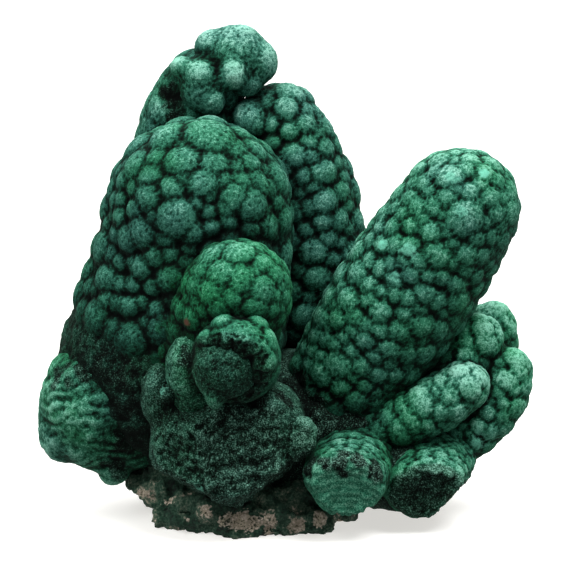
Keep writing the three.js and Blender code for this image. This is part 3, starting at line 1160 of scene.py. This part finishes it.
def normals_of(mesh: bpy.types.Mesh) -> np.ndarray:
    """The directions that a mesh's points face, one in each row."""
    return read_all(mesh.vertex_normals, "vector", 3)


def move_points(mesh: bpy.types.Mesh, points: np.ndarray) -> None:
    """Puts a mesh's points elsewhere."""
    mesh.vertices.foreach_set("co", points.ravel())
    mesh.update()


def rises(points: np.ndarray, width: float, octaves: int = 2) -> np.ndarray:
    """Noise at each point, from about -1 to 1.

    Args:
        points: an array of points, in metres.
        width: the width of a rise, in millimetres.
        octaves: how many finer levels are added to it.

    Returns:
        One number for each point.
    """
    return np.array([noise.fractal(Vector(p), 1.0, 2.0, octaves) for p in points / (width * MM)])


def smoothed(points: np.ndarray, edges: np.ndarray, times: int) -> np.ndarray:
    """Points moved to the middle of their neighbours, again and again.

    Args:
        points: an array of points.
        edges: the pairs of points that an edge joins.
        times: how many times they are moved.

    Returns:
        The moved points.
    """
    ends = np.concatenate([edges[:, 0], edges[:, 1]])
    others = np.concatenate([edges[:, 1], edges[:, 0]])
    count = np.maximum(np.bincount(ends, minlength=len(points)), 1)
    for _ in range(times):
        sums = [np.bincount(ends, points[others, k], len(points)) for k in range(3)]
        points = np.stack(sums, axis=1) / count[:, None]
    return points


def set_attribute(mesh: bpy.types.Mesh, name: str, values: np.ndarray) -> None:
    """Gives a mesh's points a number each, from 0 to 1, under a name."""
    attribute = mesh.attributes.get(name) or mesh.attributes.new(name, "FLOAT", "POINT")
    attribute.data.foreach_set("value", np.clip(values, 0, 1).astype(np.float32))


def values_of(mesh: bpy.types.Mesh, name: str) -> np.ndarray:
    """The numbers that a mesh's points have under a name."""
    return read_all(mesh.attributes[name].data, "value", 1, np.float32)[:, 0]


def shade_smooth(mesh: bpy.types.Mesh) -> None:
    """Shades a mesh without facets."""
    mesh.polygons.foreach_set("use_smooth", np.ones(len(mesh.polygons), bool))
    mesh.update()


def tree_of(piece: bpy.types.Object) -> BVHTree:
    """A tree by which rays find a piece's surface."""
    return BVHTree.FromObject(piece, bpy.context.evaluated_depsgraph_get())


@dataclass
class Nodules:
    """Round nodules, each a flattened ball sunk in the surface that it grew on.

    Attributes:
        core: the piece that they grow on.
        seed: what the random draws start from.
        crowding: how close two may grow, as a share of the sum of their half widths.
        sizes: sizes of nodule, largest first, as shares of the way from a growth's smallest to its
            largest, each with the share of places that it is tried at.
        spread: how much wider a nodule's foot is than what shows of it between its neighbours.
        overlap: how far a ball grows into its neighbours, as a share of its own width.
        sunk: half a ball's height, as a share of what stands out of it.
        uneven: how far a ball's width differs from one side to another, as a share.
        covered: how deep in another growth a place is before none are sown, in millimetres.
        fineness: how many times a ball's faces are split.
        balls: the balls, each as the matrix that makes it from a ball of radius 1.
        room: their places and half widths, in metres, one in each row.
    """

    core: bpy.types.Object
    seed: int
    crowding: float = 0.66
    sizes: tuple[tuple[float, float], ...] = ((1.0, 0.02), (0.7, 0.05), (0.4, 0.15), (0.15, 0.5), (0.0, 1.0))
    spread: float = 1.06
    overlap: float = 1.2
    sunk: float = 1.35
    uneven: float = 0.14
    covered: float = 2.0
    fineness: int = 3
    balls: list[Matrix] = field(default_factory=list)
    room: list[Station] = field(default_factory=list)

    def __post_init__(self) -> None:
        """Starts the random draws and finds the core's surface."""
        self.rng = np.random.default_rng(self.seed)
        self.tree = tree_of(self.core)

    def add(self, place: Vector, facing: Vector, half: float, relief: float) -> None:
        """Adds one nodule.

        Args:
            place: the middle of its foot, in metres.
            facing: the direction that it grows in.
            half: half its width, in metres.
            relief: how far it stands out, as a share of that.
        """
        rise = relief * half
        deep = self.sunk * rise
        wide = half * self.overlap / math.sqrt(1 - (1 - 1 / self.sunk) ** 2)
        size = Matrix.Diagonal((wide * (1 + self.uneven * self.rng.uniform(-1, 1)), wide, deep, 1.0))
        spin = Matrix.Rotation(self.rng.uniform(0, math.tau), 4, "Z")
        turn = facing.to_track_quat("Z", "Y").to_matrix().to_4x4()
        self.balls.append(Matrix.Translation(place - facing * (deep - rise)) @ turn @ spin @ size)
        self.room.append((*place, half))

    def see(self, view: PhotoView, growth: Growth) -> None:
        """Adds the nodules and swellings that the photograph shows, each on the surface at its pixel.

        Args:
            view: the photograph's point of view.
            growth: the growth that they are on.
        """
        for across, down, width in growth.seen:
            hit, facing, _, _ = self.tree.ray_cast(view.eye, view.ray(across, down))
            if hit is not None:
                self.add(hit, facing, self.spread * width * view.pixel * MM / 2, growth.relief)
        for lobe in growth.lobes:
            ray = view.ray(lobe.across, lobe.down)
            hit, _, _, _ = self.tree.ray_cast(view.eye, ray)
            if hit is None:
                log.warning("%s: nothing carries the swelling at %d, %d", growth.name, lobe.across, lobe.down)
                continue
            half = view.pixel * MM / 2
            size = Matrix.Diagonal((lobe.width * half, lobe.thick * MM, lobe.height * half, 1.0))
            turn = ray.to_track_quat("Y", "Z").to_matrix().to_4x4()
            roll = Matrix.Rotation(math.radians(lobe.turn), 4, "Y")
            place = Matrix.Translation(hit + ray * (lobe.thick - lobe.out) * MM)
            self.balls.append(place @ turn @ roll @ size)

    def sow(self, growth: Growth, others: list[Growth]) -> None:
        """Sows the rest at random, the largest first, each where it has room.

        Args:
            growth: the growth that they are on.
            others: the other growths, in which none are sown.
        """
        points, normals = points_of(self.core.data), normals_of(self.core.data)
        shut = np.min([other.away(points) for other in others], axis=0) < -self.covered * MM
        past = np.max([face.depth(points) for face in growth.breaks] or [np.full(len(points), -1.0)], axis=0)
        free = np.flatnonzero(~shut)
        taken = len(self.room)
        room = np.zeros((taken + len(free) * len(self.sizes), 4))
        if taken:
            room[:taken] = self.room
        small, large = growth.nodules
        for size, share in self.sizes:
            half = (small + size * (large - small)) / 2 * MM
            for i in self.rng.permutation(free)[: int(share * len(free))]:
                away = np.linalg.norm(room[:taken, :3] - points[i], axis=1)
                if past[i] > -self.overlap * half or np.any(away < self.crowding * (room[:taken, 3] + half)):
                    continue
                self.add(Vector(points[i]), Vector(normals[i]), half, growth.relief)
                room[taken] = self.room[-1]
                taken += 1

    def add_to(self, shape: bmesh.types.BMesh) -> None:
        """Adds the nodules to a shape, as closed balls that overlap.

        Args:
            shape: what they are added to.
        """
        template = bmesh.new()
        bmesh.ops.create_icosphere(template, subdivisions=self.fineness, radius=1.0)
        ball = bpy.data.meshes.new("ball")
        template.to_mesh(ball)
        template.free()
        for matrix in self.balls:
            nodule = ball.copy()
            nodule.transform(matrix)
            shape.from_mesh(nodule)
            bpy.data.meshes.remove(nodule)
        bpy.data.meshes.remove(ball)


@dataclass
class Clump:
    """One growth of the malachite, built and dressed.

    Attributes:
        growth: what it is.
        view: the photograph's point of view.
        seed: what its random draws start from.
        core_voxel: edge of the mesh that the nodules grow on, in millimetres.
        core_smooth: how many times that mesh is smoothed.
        skin_smooth: how many times the mesh with its nodules is smoothed.
        clearance: how far it stays off the floor, in millimetres.
        layers: the layers of a layered skin.
        rule: how high its points count.
        piece: the finished piece.
    """

    growth: Growth
    view: PhotoView
    seed: int
    core_voxel: float = 1.1
    core_smooth: int = 4
    skin_smooth: int = 1
    clearance: float = 0.2
    layers: Layers = Layers()
    rule: Height = Height()
    piece: bpy.types.Object | None = None

    def build(self, others: list[Growth]) -> bpy.types.Object:
        """Builds the piece.

        Args:
            others: the other growths, inside which no nodules are needed.

        Returns:
            The piece.
        """
        self.piece = self.core()
        nodules = Nodules(self.piece, self.seed)
        nodules.see(self.view, self.growth)
        if self.growth.nodules:
            nodules.sow(self.growth, others)
        if nodules.balls:
            shape = bmesh.new()
            shape.from_mesh(self.piece.data)
            nodules.add_to(shape)
            shape.to_mesh(self.piece.data)
            shape.free()
        remesh(self.piece, self.growth.voxel, self.skin_smooth)
        self.hollow()
        self.weather()
        shade_smooth(self.piece.data)
        self.measure(others)
        return self.piece

    def core(self) -> bpy.types.Object:
        """Makes the body that the nodules grow on.

        Returns:
            The body, broken off at its snapped-off ends.
        """
        shape = bmesh.new()
        for body in self.growth.bodies:
            body.add_to(shape, self.growth.inset * MM)
        core = new_object(self.growth.name, shape)
        remesh(core, self.core_voxel, self.core_smooth)
        for face in self.growth.breaks:
            snap(core, face)
        return core

    def hollow(self) -> None:
        """Presses in the places where the stone is broken away."""
        mesh = self.piece.data
        points, normals = points_of(mesh), normals_of(mesh)
        shown = self.view.pixels(points)
        tree = tree_of(self.piece)
        for dent in self.growth.hollows:
            ray = self.view.ray(dent.across, dent.down)
            hit, _, _, _ = tree.ray_cast(self.view.eye, ray)
            if hit is None:
                continue
            away = np.linalg.norm(shown - (dent.across, dent.down), axis=1) / dent.radius
            near = np.abs((points - np.array(hit)) @ np.array(ray)) < (dent.depth + dent.margin) * MM
            facing = normals @ np.array(ray) < dent.edge_on
            press = np.where(near & facing, np.clip(1 - away * away, 0, 1), 0)
            points += np.outer(press * dent.depth * MM, np.array(ray))
        move_points(mesh, points)

    def weather(self) -> None:
        """Raises the lumps, grains and layers of the skin, and of broken faces."""
        mesh = self.piece.data
        for face in self.growth.breaks:
            points = points_of(mesh)
            share = face.share(points)
            on = np.flatnonzero(share)
            rough = face.rough * MM * share[on] * rises(points[on], face.grain, octaves=3)
            points[on] += np.outer(rough, face.facing)
            move_points(mesh, points)
        if self.growth.skin is Skin.LAYERED:
            points = points_of(mesh)
            move_points(mesh, points + normals_of(mesh) * self.layers.out(points)[:, None])
        for width, rise in SKIN_LUMPS[self.growth.skin]:
            roughen(self.piece, width, rise)
        points = points_of(self.piece.data)
        points[:, 2] = np.maximum(points[:, 2], self.clearance * MM)
        move_points(self.piece.data, points)

    def measure(self, others: list[Growth]) -> None:
        """Gives each point its height above its surroundings, which carries painted light and shade, its
        vividness and its shade.

        Args:
            others: the other growths: shade is painted in the narrow gaps beside them.
        """
        mesh, rule = self.piece.data, self.rule
        points, normals = points_of(mesh), normals_of(mesh)
        edges = read_all(mesh.edges, "vertices", 2, np.int32)
        close = smoothed(points, edges, rule.near)
        wide = smoothed(close, edges, rule.far)
        crease = np.einsum("ij,ij->i", points - close, normals) / MM
        top = np.einsum("ij,ij->i", points - wide, normals) / MM
        # Painted shade in the narrow gaps beside the other growths.
        room = np.min([other.away(points) for other in others], axis=0)
        gap = np.clip(1 - room / (rule.gap_reach * MM), 0, 1)
        shade = np.full(len(points), self.growth.shade)
        banded = np.zeros(len(points))
        for face in self.growth.breaks:
            share = face.share(points)
            shade = np.maximum(shade, share * face.shade)
            banded = np.maximum(banded, share * face.banded)
        # Painted light on the tops of the nodules, partly the nap's haze, and painted shade in their creases;
        # then painted light on faces turned upwards and painted shade in the gaps.
        relief = rule.top * np.tanh(top / rule.top_reach)
        relief += rule.crease * np.clip(crease / rule.crease_reach, -1, rule.ridge)
        height = rule.level + self.growth.haze + (1 - rule.crusted * shade) * relief
        height += rule.upward * normals[:, 2] - rule.gap * gap**2
        set_attribute(mesh, "height", height)
        set_attribute(mesh, "fresh", np.full(len(points), self.growth.fresh))
        set_attribute(mesh, "shade", shade)
        set_attribute(mesh, "banded", banded)

    def dress(self, finish: bpy.types.Material) -> None:
        """Gives the piece its finish and its place in the frame.

        Args:
            finish: the malachite's material.
        """
        self.piece.data.materials.clear()
        self.piece.data.materials.append(finish)
        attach(self.piece, "root")
        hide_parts("malachite")
        log.info("%s: %d faces", self.piece.name, len(self.piece.data.polygons))


@dataclass
class HostRock:
    """The crust of host rock that the malachite grew over, and that the specimen stands on.

    Attributes:
        voxel: edge of its mesh, in millimetres.
        smooth: how many times that mesh is smoothed.
        weld: how close points of the solid are before they are made one, in millimetres.
        lumps: width and height of its lumps, in millimetres.
        grit: width and height of its grit, in millimetres.
        chipped: the face that its lower left end is chipped off at.
        piece: the finished piece.
    """

    voxel: float = 0.6
    smooth: int = 3
    weld: float = 0.001
    lumps: tuple[float, float] = (5.5, 6.5)
    grit: tuple[float, float] = (1.4, 2.0)
    chipped: Break = Break((-33.0, 0.0, 4.0), (-0.58, 0.0, -0.81), reach=30, rough=0.0)
    piece: bpy.types.Object | None = None

    def build(self, node: bpy.types.Object) -> bpy.types.Object:
        """Builds the piece from a copy of its solid.

        Args:
            node: the solid.

        Returns:
            The piece.
        """
        shape = bmesh.new()
        shape.from_mesh(node.data)
        bmesh.ops.remove_doubles(shape, verts=shape.verts, dist=self.weld * MM)
        self.piece = new_object("host_rock_crust", shape)
        snap(self.piece, self.chipped)
        remesh(self.piece, self.voxel, self.smooth)
        roughen(self.piece, *self.lumps)
        roughen(self.piece, *self.grit)
        points = points_of(self.piece.data)
        points[:, 2] = np.maximum(points[:, 2], 0)
        move_points(self.piece.data, points)
        shade_smooth(self.piece.data)
        return self.piece

    def dress(self, finish: bpy.types.Material) -> None:
        """Gives the piece its finish and its place in the frame.

        Args:
            finish: the rock's material.
        """
        self.piece.data.materials.clear()
        self.piece.data.materials.append(finish)
        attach(self.piece, "root")
        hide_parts("host_rock")
        log.info("%s: %d faces", self.piece.name, len(self.piece.data.polygons))


@dataclass
class Specimen:
    """The whole specimen.

    Attributes:
        view: the photograph's point of view.
        ragged: how far the edges of patches are ragged, as a share of their radius.
        ragged_width: over what width they are, in millimetres.
        reach: how far out a ragged edge may lie, as a share of the radius.
        edge: how sharply a patch ends.
        clumps: the malachite's growths.
        rock: the host rock.
    """

    view: PhotoView
    ragged: float = 0.8
    ragged_width: float = 3.0
    reach: float = 1.6
    edge: float = 2.0
    clumps: list[Clump] = field(default_factory=list)
    rock: HostRock = field(default_factory=HostRock)

    def build(self, host_rock: bpy.types.Object) -> None:
        """Builds every piece.

        Args:
            host_rock: the host rock's solid.
        """
        for seed, growth in enumerate(GROWTHS):
            clump = Clump(growth, self.view, seed)
            clump.build([other for other in GROWTHS if other is not growth])
            self.clumps.append(clump)
        self.rock.build(host_rock)
        self.stain_and_shade()

    def stain_and_shade(self) -> None:
        """Gives the points of every piece the strength of each tint, where the photograph shows it."""
        pieces = [clump.piece for clump in self.clumps] + [self.rock.piece]
        trees = [tree_of(piece) for piece in pieces]
        clouds = [points_of(piece.data) for piece in pieces]
        strengths = [{tint: np.zeros(len(points)) for tint in Tint} for points in clouds]
        patches = [(tint, *patch) for tint, row in PATCHES.items() for patch in row]
        for tint, across, down, radius, most in patches:
            ray = self.view.ray(across, down)
            hits = [tree.ray_cast(self.view.eye, ray) for tree in trees]
            found = [hit[0] for hit in hits if hit[0] is not None]
            if not found:
                continue
            middle = min(found, key=lambda hit: (hit - self.view.eye).length)
            for points, strength in zip(clouds, strengths):
                away = np.linalg.norm(points - np.array(middle), axis=1) / (radius * self.view.pixel * MM)
                on = np.flatnonzero(away < self.reach)
                uneven = self.ragged * rises(points[on], self.ragged_width, octaves=3)
                share = most * np.clip(self.edge * (1 - away[on] + uneven), 0, 1)
                strength[tint][on] = np.maximum(strength[tint][on], share)
        for piece, strength in zip(pieces, strengths):
            for tint in (Tint.PALE, Tint.RUST, Tint.BARE):
                set_attribute(piece.data, tint.value, strength[tint])
        for clump, strength in zip(self.clumps, strengths):
            # A dark patch darkens the crust and lowers the height: dark crust in most places, painted shade
            # in the deep gap beside the front ball.
            mesh, dark = clump.piece.data, strength[Tint.DARK]
            set_attribute(mesh, "fresh", np.maximum(values_of(mesh, "fresh"), strength[Tint.FRESH]))
            set_attribute(mesh, "shade", np.maximum(values_of(mesh, "shade"), dark))
            set_attribute(mesh, "height", values_of(mesh, "height") - clump.rule.dark * dark)

    def dress(self) -> None:
        """Gives every piece its finish and its place in the frame."""
        velvet = VelvetMalachite().material()
        for clump in self.clumps:
            clump.dress(velvet)
        self.rock.dress(CrustedRock().material())


@dataclass(frozen=True)
class Lamp:
    """A soft box.

    Attributes:
        name: what it is.
        place: where it hangs, in metres.
        aim: what it points at, in metres.
        size: its edge, in metres.
        power: in watts.
    """

    name: str
    place: Point
    aim: Point
    size: float
    power: float

    def hang(self) -> None:
        """Adds the lamp to the scene."""
        data = bpy.data.lights.new(self.name, "AREA")
        data.shape = "SQUARE"
        data.size = self.size
        data.energy = self.power
        lamp = bpy.data.objects.new(self.name, data)
        lamp.location = self.place
        back = Vector(self.place) - Vector(self.aim)
        lamp.rotation_euler = back.to_track_quat("Z", "Y").to_euler()
        bpy.context.scene.collection.objects.link(lamp)


@dataclass
class Studio:
    """A pale floor and soft light.

    Attributes:
        view: the photograph's point of view.
        floor_edge: the floor's edge, in metres.
        sky: strength of the light from all around.
        sky_colour: its colour.
        lamps: the soft boxes.
    """

    view: PhotoView
    floor_edge: float = 16.0
    sky: float = 0.36
    sky_colour: str = "#ffffff"
    lamps: tuple[Lamp, ...] = (
        Lamp("key", (0.5, -0.5, 1.5), (0, 0, 0.05), 0.8, 31.0),
        Lamp("fill", (-0.9, -0.5, 1.0), (0, 0, 0.05), 0.8, 13.0),
        Lamp("wall", (0.0, 2.2, 2.4), (0, 1.4, 0.0), 2.6, 100.0),
    )

    def build(self) -> None:
        """Adds the floor, the lamps, the sky and the camera."""
        shape = bmesh.new()
        bmesh.ops.create_grid(shape, x_segments=1, y_segments=1, size=self.floor_edge / 2)
        floor = new_object("floor", shape)
        floor.data.materials.append(GlowingFloor().material())
        # The floor's painted glow doesn't light the stone, whose undersides are dark.
        floor.visible_diffuse = False
        for lamp in self.lamps:
            lamp.hang()
        world = bpy.data.worlds.new("sky")
        world.use_nodes = True
        background = world.node_tree.nodes["Background"]
        background.inputs["Color"].default_value = linear(self.sky_colour)
        background.inputs["Strength"].default_value = self.sky
        bpy.context.scene.world = world
        bpy.context.scene.view_settings.view_transform = "Standard"
        self.view.make_camera()


def main() -> None:
    """Builds the specimen and its studio."""
    logging.basicConfig(level=logging.INFO)
    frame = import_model()
    view = PhotoView()
    Studio(view).build()
    specimen = Specimen(view)
    specimen.build(frame["nodes"]["host_rock"])
    specimen.dress()


if __name__ == "__main__":
    main()
